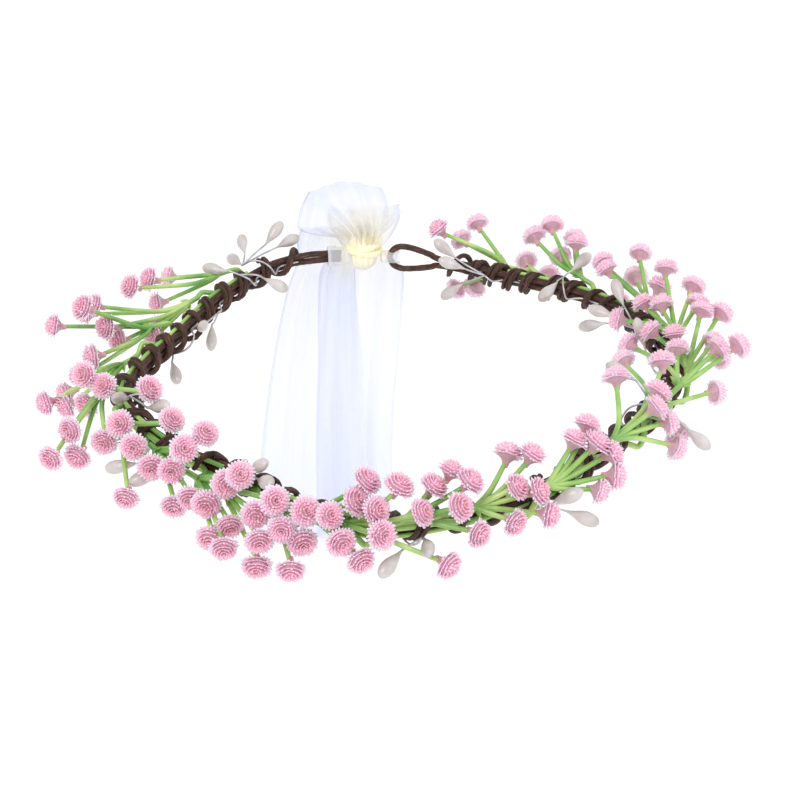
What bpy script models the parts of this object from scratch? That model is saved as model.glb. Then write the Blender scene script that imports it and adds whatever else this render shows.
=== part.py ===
"""Flower crown: a wire band wound with vine, set with flower sprays and pip buds, tied by an organza bow.

Sizes are in millimetres and are turned into metres where a mesh is made. +Z is up, the bow is at +Y (90
degrees round the band) and the front is at -Y. The origin is the middle of the band, in its plane.
Places near the band are given round it (degrees), outward from its centreline and upward (mm).
"""
import math

import bmesh
import bpy
from mathutils import Vector, kdtree

MM = 0.001
GAP = 0.3
TIP_RISE = 0.6  # of a tube's radius: how far its closed end rises

# Band: angle round the crown, how far the outline stands off the mean radius, height.
BAND_RADIUS = 92.0
BAND_OUTLINE = (
    (90, 6, 0), (108, 9, 0), (126, 1, -1), (148, -5, -2), (166, -2, -1), (182, 3, 0), (204, -1, 1),
    (224, -5, 2), (242, 0, 1), (256, 5, 0), (274, 2, 1), (292, -2, 2), (308, -6, 3), (326, -5, 1),
    (346, 2, -1), (362, 5, 0), (382, 4, 0), (400, 0, -1), (416, -1, -2), (432, 2, -1),
)

# Ring wire, bent double: its two strands lie one above the other.
WIRE_RADIUS = 1.2
STRAND_RISE = WIRE_RADIUS + GAP * 0.5
WIRE_INSET = 2.6
EYELET_JOIN = 432.0
EYELET_RISE = 4.8
WIRE_STEP = 6.0
WIRE_SIDES = 6

# The lane where the stems run beside the strands, measured from the vine's axis.
STEM_RADIUS = 0.8
VINE_OFFSET = 0.5
STEM_LANE = WIRE_RADIUS + STEM_RADIUS + GAP - VINE_OFFSET * 0.5
STEM_LANE_ANGLE = 26.0

# Vine: a helix round the strands and the stems, in three lengths (from, to, pitch).
VINE_RADIUS = 0.8
VINE_HELIX = max(
    STEM_LANE + STEM_RADIUS + VINE_RADIUS + 1.5 * GAP, 2.0 * WIRE_RADIUS + VINE_RADIUS + 3.0 * GAP
)
VINE_SIDES = 4
VINE_STEPS = 8
VINES = {
    "vine_left": (105.0, 213.0, 11.5),
    "vine_front": (216.0, 322.0, 11.5),
    "vine_right": (325.0, 430.0, 8.5),
}
VINE_REACH = VINE_HELIX + VINE_RADIUS

# Flower sprays: stems run under the vine, then split into stalks that end in heads.
STEM_FOOT = 12.0
HUB_RADIUS = 1.15
HUB_REACH = VINE_REACH + HUB_RADIUS + GAP
HUB_RUN = 2.0
SWING_RUN = 1.5 / 45.0  # mm of run for each degree that a stem swings round the vine
SWING_STEP = 35.0
RISE_LENGTH = 5.0
STALK_RADIUS = 0.55
TWIG_SIDES = 5
TWIG_MIDDLE = 0.45
HEAD_RADIUS = 3.2
HEAD_HEIGHT = 4.4
HEAD_PROFILE = ((0.14, 0.65), (0.55, 1.0))  # shares of the height and of the radius
HEAD_LEAN = 0.5
HEAD_SPACE = 0.7

# Pip buds on thin wires, held on the inner side of the band.
BUD_WIRE_RADIUS = 0.35
BUD_HUB_RADIUS = 0.56
BUD_LANE = VINE_OFFSET + WIRE_RADIUS + BUD_WIRE_RADIUS + GAP
BUD_LANE_ANGLE = 180.0
BUD_HUB_REACH = VINE_REACH + BUD_WIRE_RADIUS + 2.0 * GAP
BUD_FOOT = 8.0
BUD_RADIUS = 2.3
BUD_LENGTH = 11.5
BUD_PROFILE = ((0.2, 0.5), (0.6, 1.0), (0.88, 0.75))  # shares of the length and of the radius
BUD_LEAN = 0.15

# Settling: twigs are sampled as beads, and those that come too near each other are pushed apart.
SETTLE_ROUNDS = 60
BEAD_STEP = 1.2
BAND_BEAD_STEP = 0.5
SHARE_MOVED = 0.05
SHARE_FLOOR = 0.35

# Each spray: where its stem leaves the band, then each head as (degrees ahead, outward, upward).
SPRAYS = (
    (117, ((17, 18, 9), (23, 20, 13), (30, 22, 14), (20, 21, -1), (13, 24, 4))),
    (134, ((26, 26, 14), (23, 33, 7), (29, 18, 9), (26, 16, 2), (11, 14, -3), (17, 9, 1))),
    (147, ((22, 24, 18), (21, 33, 8), (21, 20, 1), (24, 26, -2), (18, 29, 13))),
    (160, ((20, 28, -4), (16, 24, -6), (14, 12, -5), (20, 22, -5), (24, 14, 12), (22, 14, -2))),
    (174, ((14, 15, 4), (19, 24, 3), (22, 34, -1), (20, 23, -6), (22, -3, 12), (23, 16, 0), (12, 8, 9))),
    (186, ((14, 12, 8), (20, 14, 5), (24, 24, -6), (24, 3, 13), (25, 14, 1))),
    (199, ((17, 14, 3), (21, 10, 10), (21, 20, -4), (22, 5, 13), (24, 17, -2))),
    (212, ((20, 24, -7), (17, 18, 0), (20, 13, 7), (22, 12, 11), (23, 17, -4), (25, 25, -6))),
    (222, ((12, 14, 3), (17, 18, -2), (18, 17, 5), (19, 23, -10), (20, 21, -1), (21, 15, 11))),
    (232, ((14, 17, 3), (16, 15, 0), (16, 12, 9), (16, 20, -8), (20, 12, 10))),
    (241, ((13, 16, 4), (14, 6, 13), (16, 14, -2), (15, 2, 17), (17, 9, 12))),
    (250, ((9, 15, 7), (12, 4, 17), (15, 10, 11), (18, 19, -2))),
    (258, ((10, 3, 15), (14, 0, 17), (13, 12, 12), (12, 14, 4), (16, 6, 16), (15, 16, 4))),
    (269, ((11, 14, 3), (13, 9, 12), (16, -4, 15), (16, 12, 10), (19, 2, 16), (17, 15, 2))),
    (286, ((12, 16, -2), (13, 4, 14), (15, 9, 13), (17, 12, 8), (18, 2, 15), (15, 15, 2))),
    (309, ((13, 10, 12), (17, 16, -3), (16, 13, 6), (19, 6, 13), (12, -5, 19))),
    (320, ((14, 11, -5), (24, 16, 1), (16, -4, 14), (24, -11, 12))),
    (332, ((18, 2, 13), (17, 10, 9), (19, 16, 13), (21, 23, 12), (26, -14, 6), (24, 15, 9))),
    (344, ((12, 1, 13), (15, -8, 11), (19, 22, 12), (19, 14, 14), (24, 2, 13), (16, 20, -2), (11, 12, 2))),
    (357, ((9, 15, 13), (14, 18, 15), (14, -3, 12), (16, -11, 5), (19, 12, 19))),
    (369, ((8, 11, 11), (13, 4, 11), (17, 18, 16), (19, 3, 13), (22, 8, 13), (16, 14, 8), (21, 17, -8))),
    (389, ((10, 14, 16), (14, 22, 12), (15, 14, 7), (19, 20, 17), (22, 15, 13))),
    (400, ((7, 14, -3), (13, 14, 2))),
    (410, ((11, 13, 4), (17, 19, 11), (19, 12, 6), (23, 3, 13), (18, 3, -12), (14, 7, -11))),
)

# Each bud cluster: where its wires leave the band, then each bud as (degrees ahead, outward, upward).
BUD_CLUSTERS = (
    (110, ((3, 15, 6), (6, 13, 2), (-1, 6, 11), (-4, 5, 4))),
    (120, ((5, 9, 6), (-4, -9, -2))),
    (133, ((11, -8, -4), (16, -9, 5))),
    (148, ((11, -5, -8), (14, 7, -8))),
    (183, ((9, 5, 9), (15, -4, 9))),
    (204, ((-2, 15, -5), (5, 15, -3))),
    (221, ((12, 2, 9), (16, 6, 9))),
    (259, ((1, 14, -4), (6, 15, 1))),
    (284, ((8, 10, 3), (10, 14, -6))),
    (326, ((8, 18, -4), (2, -12, 12))),
    (352, ((8, -9, 9), (10, 2, -12))),
    (369, ((13, -9, 2), (15, -11, -4), (12, -2, 9))),
    (394, ((3, 8, 9), (5, -9, 3))),
    (417, ((10, -9, 5), (13, -5, 9), (10, -7, -8))),
)

# Ribbon: knot, the straps that hold the wire's ends, two loops and two tails.
KNOT_ANGLE = 90.0
KNOT_RISE = 4.0
KNOT_HALF_WIDTH = 6.4
KNOT_HALF_DEPTH = 5.0
KNOT_HALF_HEIGHT = 8.0
KNOT_PROFILE = ((-0.8, 0.55), (-0.45, 0.9), (0.0, 1.0), (0.45, 0.9), (0.8, 0.55))
KNOT_SIDES = 12
STRAP_WALL = 1.0
STRAP_SLACK = 3.0 * GAP
STRAP_WIDTH = 5.0
STRAP_LENGTH = 7.5
STRAP_SIDES = 10
RIBBON_WALL = 1.0
RIBBON_COLUMNS = 6
WAVE_DEPTH = 1.2
WAVE_COUNT = 1.5
WAVE_START_ROWS = 3
TAIL_LENGTH = 137.0
TAIL_TOP = -4.0
TAIL_STEPS = 9

# Each loop's rows: left and right edge, how far back and how far up. The front loop's heights are
# from the knot's top, and the back loop's depths are from the knot's back.
LOOP_FRONT = (
    (-4, 4, -1, 0.6), (-12, 8, -3, 7), (-19, 10, -1, 14), (-20, 8, 3, 19),
    (-20, 7, 7, 19), (-23, 11, 10, 12), (-26, 12, 10, 4), (-26, 10, 8, -4),
)
LOOP_BACK = (
    (-3, 5, 1, -3), (-8, 11, 6, -2), (-12, 17, 14, 3), (-12, 19, 17, 9),
    (-11, 19, 14, 13), (-10, 18, 11, 8), (-7, 12, 7, 3), (-4, 6, 2, 1),
)

# Each tail: its edges at the top, its edges at the bottom, how far it hangs behind the knot.
TAILS = {
    "ribbon_tail_left": ((-25, -2), (-46, 2), 2.5),
    "ribbon_tail_right": ((-18, 16), (-20, 12), 5.5),
}


def clear_scene():
    for item in list(bpy.data.objects):
        bpy.data.objects.remove(item)


def material(name, colour, roughness, metallic=0.0):
    made = bpy.data.materials.new(name)
    made.use_nodes = True
    shader = made.node_tree.nodes["Principled BSDF"]
    shader.inputs["Base Color"].default_value = (*colour, 1.0)
    shader.inputs["Roughness"].default_value = roughness
    shader.inputs["Metallic"].default_value = metallic
    return made


def band_value(angle, column):
    """The outline's stand-off or height at an angle, on a smooth curve through its points."""
    count = len(BAND_OUTLINE)
    first = BAND_OUTLINE[0][0]
    angle = (angle - first) % 360.0 + first
    index = max(i for i in range(count) if BAND_OUTLINE[i][0] <= angle)

    def knot(i):
        return BAND_OUTLINE[i % count][0] + 360.0 * (i // count), BAND_OUTLINE[i % count][column]

    (a0, v0), (a1, v1), (a2, v2), (a3, v3) = (knot(index + i) for i in (-1, 0, 1, 2))
    span = a2 - a1
    t = (angle - a1) / span
    slope1 = (v2 - v0) / (a2 - a0) * span
    slope2 = (v3 - v1) / (a3 - a1) * span
    rise = t * t * (3.0 - 2.0 * t)
    return v1 + (v2 - v1) * rise + slope1 * t * (1.0 - t) ** 2 - slope2 * t * t * (1.0 - t)


def band_centre(angle):
    radius = BAND_RADIUS + band_value(angle, 1)
    turn = math.radians(angle)
    return Vector((radius * math.cos(turn), radius * math.sin(turn), band_value(angle, 2)))


def band_frame(angle):
    """The band's centre at an angle, with its directions along, outward and upward."""
    along = (band_centre(angle + 0.5) - band_centre(angle - 0.5)).normalized()
    out = along.cross(Vector((0.0, 0.0, 1.0))).normalized()
    return band_centre(angle), along, out, out.cross(along)


def near_band(angle, out, up):
    centre, _, outward, upward = band_frame(angle)
    return centre + outward * out + upward * up


def round_vine(angle, reach, turn):
    """A point at a reach and a turn (0 outward, 90 upward) about the vine's own axis."""
    turn = math.radians(turn)
    return near_band(angle, VINE_OFFSET + reach * math.cos(turn), reach * math.sin(turn))


def degrees_for(length):
    """The angle that a length along the band takes up."""
    return math.degrees(length / BAND_RADIUS)


def beside_knot(distance):
    """How many degrees from the knot's middle the band stands a distance to its side."""
    return math.degrees(math.asin(distance / (BAND_RADIUS + band_value(KNOT_ANGLE, 1))))


def wire_start():
    """Where both strands' ends lie, inside the left strap."""
    return KNOT_ANGLE + beside_knot(KNOT_HALF_WIDTH + GAP + WIRE_INSET)


def eyelet_bore():
    """The bore that the right strap needs to pass round the eyelet's curved end."""
    slant = math.asin(STRAP_WIDTH * 0.5 / EYELET_RISE)
    return EYELET_RISE * (1.0 - math.cos(slant)) + WIRE_RADIUS / math.cos(slant) + 2.0 * GAP


def eyelet_end():
    """Where the wire turns back, so that the right strap just clears the knot."""
    return KNOT_ANGLE + 360.0 - beside_knot(KNOT_HALF_WIDTH + GAP + STRAP_WALL + eyelet_bore())


def sweep(path, radii, sides):
    """A closed tube with one ring at each point of the path, ended by a raised tip at each end."""
    mesh = bmesh.new()
    rings = []
    side = None
    for i, point in enumerate(path):
        ahead = (path[min(i + 1, len(path) - 1)] - path[max(i - 1, 0)]).normalized()
        side = ahead.orthogonal() if side is None else side - ahead * side.dot(ahead)
        side = side.normalized()
        cross = ahead.cross(side)
        ring = []
        for k in range(sides):
            turn = math.tau * k / sides
            ring.append(mesh.verts.new(point + (side * math.cos(turn) + cross * math.sin(turn)) * radii[i]))
        rings.append(ring)
    for near, far in zip(rings, rings[1:]):
        for k in range(sides):
            mesh.faces.new((near[k], near[(k + 1) % sides], far[(k + 1) % sides], far[k]))
    start = mesh.verts.new(path[0] + (path[0] - path[1]).normalized() * radii[0] * TIP_RISE)
    end = mesh.verts.new(path[-1] + (path[-1] - path[-2]).normalized() * radii[-1] * TIP_RISE)
    for k in range(sides):
        mesh.faces.new((start, rings[0][(k + 1) % sides], rings[0][k]))
        mesh.faces.new((end, rings[-1][k], rings[-1][(k + 1) % sides]))
    return mesh


def add_object(name, mesh, finish):
    """Turn a bmesh in millimetres into a named object in metres."""
    bmesh.ops.recalc_face_normals(mesh, faces=mesh.faces)
    bmesh.ops.scale(mesh, vec=(MM, MM, MM), verts=mesh.verts)
    data = bpy.data.meshes.new(name)
    mesh.to_mesh(data)
    mesh.free()
    data.shade_smooth()
    data.materials.append(finish)
    made = bpy.data.objects.new(name, data)
    bpy.context.scene.collection.objects.link(made)
    return made


def join_solids(name, solids, finish):
    """Unite overlapping solids into one body."""
    trunk = add_object(name, solids[0], finish)
    branches = [add_object(name + "_branch", solid, finish) for solid in solids[1:]]
    for branch in branches:
        union = trunk.modifiers.new("union", "BOOLEAN")
        union.operation = "UNION"
        union.object = branch
    depsgraph = bpy.context.evaluated_depsgraph_get()
    joined = bpy.data.meshes.new_from_object(trunk.evaluated_get(depsgraph))
    trunk.modifiers.clear()
    trunk.data = joined
    for branch in branches:
        bpy.data.objects.remove(branch)
    return trunk


def ring_wire(finish):
    """One wire: along the upper strand, round the eyelet and back along the lower strand."""
    start = wire_start()
    steps = round((EYELET_JOIN - start) / WIRE_STEP)
    angles = [start + (EYELET_JOIN - start) * i / steps for i in range(steps + 1)]
    upper = [near_band(angle, 0.0, STRAND_RISE) for angle in angles]
    lower = [near_band(angle, 0.0, -STRAND_RISE) for angle in reversed(angles)]
    bend = degrees_for(EYELET_RISE)
    turn_centre = eyelet_end() - bend
    eyelet = []
    for share in (0.25, 0.5, 0.75):
        angle = EYELET_JOIN + (turn_centre - EYELET_JOIN) * share
        rise = STRAND_RISE + (EYELET_RISE - STRAND_RISE) * math.sin(math.pi / 2 * share)
        eyelet.append((angle, rise))
    for turn in range(90, -91, -30):
        tilt = math.radians(turn)
        eyelet.append((turn_centre + bend * math.cos(tilt), EYELET_RISE * math.sin(tilt)))
    eyelet += [(angle, -rise) for angle, rise in reversed(eyelet[:3])]
    path = upper + [near_band(angle, 0.0, rise) for angle, rise in eyelet] + lower
    return add_object("ring_wire", sweep(path, [WIRE_RADIUS] * len(path), WIRE_SIDES), finish)


def vine_turn(vine, angle):
    """How far the vine has turned about its axis at an angle round the band, in degrees."""
    start, _, pitch = vine
    return 360.0 * math.radians(angle - start) * BAND_RADIUS / pitch


def vine_wire(name, finish):
    start, end, _ = VINES[name]
    steps = round(vine_turn(VINES[name], end) / 360.0 * VINE_STEPS)
    path = []
    for i in range(steps + 1):
        angle = start + (end - start) * i / steps
        path.append(round_vine(angle, VINE_HELIX, vine_turn(VINES[name], angle)))
    return add_object(name, sweep(path, [VINE_RADIUS] * len(path), VINE_SIDES), finish)


def gap_in_vine(angle, turn):
    """The nearest angle where a wire at that turn passes midway between two turns of the vine."""
    vine = min(VINES.values(), key=lambda v: abs(angle - (v[0] + v[1]) / 2.0))
    per_turn = math.degrees(vine[2] / BAND_RADIUS)
    turns = (vine_turn(vine, angle) - turn - 180.0) / 360.0
    return angle + (round(turns) - turns) * per_turn


def polar(out, up):
    return math.hypot(out - VINE_OFFSET, up), math.degrees(math.atan2(up, out - VINE_OFFSET))


def nearest_turn(turn, reference):
    return reference + (turn - reference + 180.0) % 360.0 - 180.0


class Twig:
    """A stalk or a bud wire from a hub to its tip, which may be shifted aside to clear its neighbours.

    The hub is (angle, reach, turn) and the tip (angle, outward, upward); lean turns the head or bud from
    the way that its wire ends towards the way out from the band.
    """

    def __init__(self, cluster, hub, tip, radius, tip_radius, tip_length, lean):
        self.cluster = cluster
        self.radius = radius
        self.tip_radius = tip_radius
        self.tip_length = tip_length
        self.shift = Vector((0.0, 0.0, 0.0))
        hub_angle, hub_reach, hub_turn = hub
        angle, out, up = tip
        reach, turn = polar(out, up)
        turn = nearest_turn(turn, hub_turn)
        self.route = []
        for share in (0.0, TWIG_MIDDLE, 1.0):
            ease = share * share * (1.5 - 0.5 * share)
            at_angle = hub_angle + (angle - hub_angle) * share
            at_reach = hub_reach + (reach - hub_reach) * ease
            at_turn = hub_turn + (turn - hub_turn) * share
            self.route.append((share, round_vine(at_angle, at_reach, at_turn)))
        centre, _, outward, upward = band_frame(angle)
        radial = (outward * out + upward * up).normalized()
        last = (self.route[-1][1] - self.route[-2][1]).normalized()
        self.axis = (last + radial * lean).normalized()

    def points(self):
        """The wire's points, ending at the base of the head or bud."""
        moved = [point + self.shift * share * share for share, point in self.route]
        moved[-1] = moved[-1] - self.axis * self.tip_length * 0.5
        return moved

    def beads(self):
        """Spheres along the wire and the tip, which show how near the twig comes to others."""
        found = []
        points = self.points()
        for (share1, _), (share2, _), near, far in zip(self.route, self.route[1:], points, points[1:]):
            found += bead_line(near, far, self.radius, (share1, share2), self, self.cluster)
        count = max(1, round(self.tip_length / (2.0 * self.tip_radius)))
        for i in range(count):
            along = self.tip_length * (i + 0.6) / (count + 0.2)
            found.append((points[-1] + self.axis * along, self.tip_radius, 1.0, self, self.cluster))
        return found


def bead_line(near, far, radius, shares, twig, cluster):
    """Beads along a straight stretch: (centre, radius, share of the twig's shift, twig, cluster)."""
    count = max(1, round((far - near).length / BEAD_STEP))
    beads = []
    for i in range(count):
        share = shares[0] + (shares[1] - shares[0]) * i / count
        beads.append((near.lerp(far, i / count), radius, share * share, twig, cluster))
    return beads


def band_beads():
    """Beads of the wound band's size along it, from the wire's closed end to the eyelet."""
    start = wire_start()
    count = round((eyelet_end() - start) / BAND_BEAD_STEP)
    angles = [start + BAND_BEAD_STEP * i for i in range(count)]
    return [(round_vine(angle, 0.0, 0.0), VINE_REACH, 0.0, None, "band") for angle in angles]


def settle(plans):
    """Push twigs aside, a little at a time, until none touches another, a stem or the wound band."""
    fixed = band_beads()
    for name, path, radii, _, _ in plans:
        for near, far, radius in zip(path, path[1:], radii[1:]):
            fixed += bead_line(near, far, radius, (0.0, 0.0), None, name)
    twigs = [twig for plan in plans for twig in plan[3]]
    for _ in range(SETTLE_ROUNDS):
        beads = list(fixed)
        for twig in twigs:
            beads += twig.beads()
        tree = kdtree.KDTree(len(beads))
        for i, bead in enumerate(beads):
            tree.insert(bead[0], i)
        tree.balance()
        pushes = {id(twig): [] for twig in twigs}
        for i in range(len(fixed), len(beads)):
            push_apart(beads, i, tree, pushes)
        for twig in twigs:
            if pushes[id(twig)]:
                twig.shift += sum(pushes[id(twig)], Vector()) / len(pushes[id(twig)])
        if not any(pushes.values()):
            break


def push_apart(beads, i, tree, pushes):
    """Note how far bead i must shift its twig to clear each bead that comes too near."""
    point, radius, share, twig, cluster = beads[i]
    if share < SHARE_MOVED:
        return
    for other_point, j, distance in tree.find_range(point, radius + VINE_REACH + HEAD_SPACE):
        _, other_radius, other_share, other, other_cluster = beads[j]
        both_tips = share == 1.0 and other_share == 1.0
        if other is twig or (other_cluster == cluster and not both_tips):
            continue
        space = HEAD_SPACE if other_cluster != "band" else GAP
        lack = radius + other_radius + space - distance
        if lack > 0.0:
            half = 0.5 if other_share > SHARE_MOVED else 1.0
            push = lack * half / max(share, SHARE_FLOOR)
            pushes[id(twig)].append((point - other_point) / distance * push)


def hub_for(at, tips, lane_turn, reach):
    """Where a cluster's twigs part: past the gap in the vine, on the side that its tips are on."""
    leave = gap_in_vine(at, lane_turn)
    out = sum(tip[1] for tip in tips) / len(tips)
    up = sum(tip[2] for tip in tips) / len(tips)
    turn = nearest_turn(polar(out, up)[1], lane_turn)
    swing = abs(turn - lane_turn) * SWING_RUN
    hub_angle = leave + degrees_for(RISE_LENGTH * 0.5 + HUB_RUN + swing)
    return leave, (hub_angle, reach, turn)


def trunk_path(leave, hub, lane, lane_turn, foot):
    """Under the vine, out through the gap between two turns, then round to the hub."""
    hub_angle, reach, turn = hub
    half_rise = degrees_for(RISE_LENGTH * 0.5)
    path = [
        round_vine(leave - half_rise - degrees_for(foot), lane, lane_turn),
        round_vine(leave - half_rise - degrees_for(foot) * 0.5, lane, lane_turn),
        round_vine(leave - half_rise, lane, lane_turn),
        round_vine(leave, (lane + reach) * 0.5, lane_turn),
        round_vine(leave + half_rise, reach, lane_turn),
    ]
    steps = max(1, round(abs(turn - lane_turn) / SWING_STEP))
    for i in range(1, steps + 1):
        angle = leave + half_rise + (hub_angle - leave - half_rise) * i / steps
        path.append(round_vine(angle, reach, lane_turn + (turn - lane_turn) * i / steps))
    return path


def head_solid(twig):
    """A stalk that opens into a domed head."""
    points = twig.points()
    base = points[-1]
    radii = [twig.radius] * len(points) + [HEAD_RADIUS * share for _, share in HEAD_PROFILE]
    points = points + [base + twig.axis * height * HEAD_HEIGHT for height, _ in HEAD_PROFILE]
    return sweep(points, radii, TWIG_SIDES)


def bud_solid(twig):
    """A thin wire that ends in a teardrop bud."""
    points = twig.points()
    base = points[-1]
    radii = [twig.radius] * len(points) + [BUD_RADIUS * share for _, share in BUD_PROFILE]
    points = points + [base + twig.axis * height * BUD_LENGTH for height, _ in BUD_PROFILE]
    return sweep(points, radii, TWIG_SIDES)


def plan_sprays():
    plans = []
    for index, (at, tips) in enumerate(SPRAYS):
        lane_turn = STEM_LANE_ANGLE if index % 2 else -STEM_LANE_ANGLE
        leave, hub = hub_for(at, tips, lane_turn, HUB_REACH)
        name = f"flower_spray_{index + 1:02d}"
        twigs = [
            Twig(name, hub, (at + ahead, out, up), STALK_RADIUS, HEAD_RADIUS, HEAD_HEIGHT, HEAD_LEAN)
            for ahead, out, up in tips
        ]
        path = trunk_path(leave, hub, STEM_LANE, lane_turn, STEM_FOOT)
        radii = [STEM_RADIUS] * (len(path) - 1) + [HUB_RADIUS]
        plans.append((name, path, radii, twigs, head_solid))
    return plans


def plan_buds():
    plans = []
    for index, (at, tips) in enumerate(BUD_CLUSTERS):
        leave, hub = hub_for(at, tips, BUD_LANE_ANGLE, BUD_HUB_REACH)
        name = f"bud_cluster_{index + 1:02d}"
        twigs = [
            Twig(name, hub, (at + ahead, out, up), BUD_WIRE_RADIUS, BUD_RADIUS, BUD_LENGTH, BUD_LEAN)
            for ahead, out, up in tips
        ]
        path = trunk_path(leave, hub, BUD_LANE, BUD_LANE_ANGLE, BUD_FOOT)
        radii = [BUD_WIRE_RADIUS] * (len(path) - 1) + [BUD_HUB_RADIUS]
        plans.append((name, path, radii, twigs, bud_solid))
    return plans


def knot_centre():
    return near_band(KNOT_ANGLE, 0.0, KNOT_RISE)


def ribbon_knot(finish):
    """The gathered middle of the bow, a barrel that is squeezed front to back."""
    centre = knot_centre()
    path = [centre + Vector((0.0, 0.0, KNOT_HALF_HEIGHT * height)) for height, _ in KNOT_PROFILE]
    solid = sweep(path, [KNOT_HALF_WIDTH * share for _, share in KNOT_PROFILE], KNOT_SIDES)
    for vert in solid.verts:
        vert.co.y = centre.y + (vert.co.y - centre.y) * KNOT_HALF_DEPTH / KNOT_HALF_WIDTH
    return add_object("ribbon_knot", solid, finish)


def sleeve(centres, across, over, bore, wall):
    """A closed band of ribbon round a wire: its bore and its outside, joined at both edges."""
    mesh = bmesh.new()
    rings = []
    outline = [(centre, 0.0) for centre in centres] + [(centre, wall) for centre in reversed(centres)]
    for centre, extra in outline:
        ring = []
        for k in range(STRAP_SIDES):
            turn = math.tau * k / STRAP_SIDES
            place = across * (bore[0] + extra) * math.cos(turn) + over * (bore[1] + extra) * math.sin(turn)
            ring.append(mesh.verts.new(centre + place))
        rings.append(ring)
    for i, near in enumerate(rings):
        far = rings[(i + 1) % len(rings)]
        for k in range(STRAP_SIDES):
            mesh.faces.new((near[k], near[(k + 1) % STRAP_SIDES], far[(k + 1) % STRAP_SIDES], far[k]))
    return mesh


def strap_left(finish):
    """The ribbon's turn round the closed end of the wire, beside the knot."""
    inner_edge = KNOT_HALF_WIDTH + GAP
    angles = [KNOT_ANGLE + beside_knot(inner_edge + STRAP_LENGTH * share) for share in (0.0, 0.5, 1.0)]
    centres = [near_band(angle, 0.0, 0.0) for angle in angles]
    _, _, outward, upward = band_frame(angles[1])
    bore = (WIRE_RADIUS + STRAP_SLACK, STRAND_RISE + WIRE_RADIUS + STRAP_SLACK)
    return add_object("ribbon_strap_left", sleeve(centres, outward, upward, bore, STRAP_WALL), finish)


def strap_right(finish):
    """The ribbon's turn through the eyelet, round its end."""
    middle, along, outward, upward = band_frame(eyelet_end())
    centres = [middle + upward * STRAP_WIDTH * share for share in (-0.5, 0.0, 0.5)]
    bore = (eyelet_bore(), eyelet_bore())
    return add_object("ribbon_strap_right", sleeve(centres, along, outward, bore, STRAP_WALL), finish)


def ribbon_strip(rows):
    """A closed strip of ribbon through rows of (left x, right x, y, z), with soft waves across it."""
    mesh = bmesh.new()
    middles = [Vector((0.0, y, z)) for _, _, y, z in rows]
    faces = []
    for i, (left, right, y, z) in enumerate(rows):
        ahead = (middles[min(i + 1, len(rows) - 1)] - middles[max(i - 1, 0)]).normalized()
        normal = ahead.cross(Vector((1.0, 0.0, 0.0)))
        front = []
        back = []
        for k in range(RIBBON_COLUMNS):
            share = k / (RIBBON_COLUMNS - 1)
            wave = WAVE_DEPTH * math.sin(share * math.tau * WAVE_COUNT) * min(1.0, i / WAVE_START_ROWS)
            point = Vector((left + (right - left) * share, y, z)) + normal * wave
            front.append(mesh.verts.new(point + normal * RIBBON_WALL * 0.5))
            back.append(mesh.verts.new(point - normal * RIBBON_WALL * 0.5))
        faces.append(front + back[::-1])
    count = 2 * RIBBON_COLUMNS
    for near, far in zip(faces, faces[1:]):
        for k in range(count):
            mesh.faces.new((near[k], near[(k + 1) % count], far[(k + 1) % count], far[k]))
    for end in (faces[0], faces[-1]):
        for k in range(RIBBON_COLUMNS - 1):
            mesh.faces.new((end[k], end[k + 1], end[count - 2 - k], end[count - 1 - k]))
    return mesh


def bow_loop_front(finish):
    """The large loop: up the front, over the top and down behind the knot."""
    centre = knot_centre()
    top = centre.z + KNOT_HALF_HEIGHT
    rows = [(left, right, centre.y + back, top + up) for left, right, back, up in LOOP_FRONT]
    return add_object("bow_loop_front", ribbon_strip(rows), finish)


def bow_loop_back(finish):
    """The smaller loop: back from the knot and round to it again."""
    centre = knot_centre()
    behind = centre.y + KNOT_HALF_DEPTH
    rows = [(left, right, behind + back, centre.z + up) for left, right, back, up in LOOP_BACK]
    return add_object("bow_loop_back", ribbon_strip(rows), finish)


def ribbon_tail(name, finish):
    """A tail that hangs behind the band and spreads towards its lower end."""
    top, bottom, stand_off = TAILS[name]
    back = knot_centre().y + KNOT_HALF_DEPTH + stand_off
    rows = []
    for i in range(TAIL_STEPS + 1):
        share = i / TAIL_STEPS
        spread = 1.0 - (1.0 - share) ** 2
        left = top[0] + (bottom[0] - top[0]) * spread
        right = top[1] + (bottom[1] - top[1]) * spread
        rows.append((left, right, back, TAIL_TOP - TAIL_LENGTH * share))
    return add_object(name, ribbon_strip(rows), finish)


def build():
    clear_scene()
    brown = material("paper_wire", (0.13, 0.06, 0.035), 0.7)
    pink = material("flower_plastic", (0.93, 0.55, 0.68), 0.5)
    pearl = material("bud_plastic", (0.74, 0.71, 0.72), 0.35)
    organza = material("organza", (0.9, 0.91, 0.96), 0.5)
    cream = material("knot_organza", (0.95, 0.9, 0.74), 0.5)
    ring_wire(brown)
    for name in VINES:
        vine_wire(name, brown)
    plans = plan_sprays() + plan_buds()
    settle(plans)
    for name, path, radii, twigs, tip_solid in plans:
        finish = pink if tip_solid is head_solid else pearl
        join_solids(name, [sweep(path, radii, TWIG_SIDES)] + [tip_solid(twig) for twig in twigs], finish)
    ribbon_knot(cream)
    strap_left(organza)
    strap_right(organza)
    bow_loop_front(organza)
    bow_loop_back(organza)
    for name in TAILS:
        ribbon_tail(name, organza)


build()
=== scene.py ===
import math
import random

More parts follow.
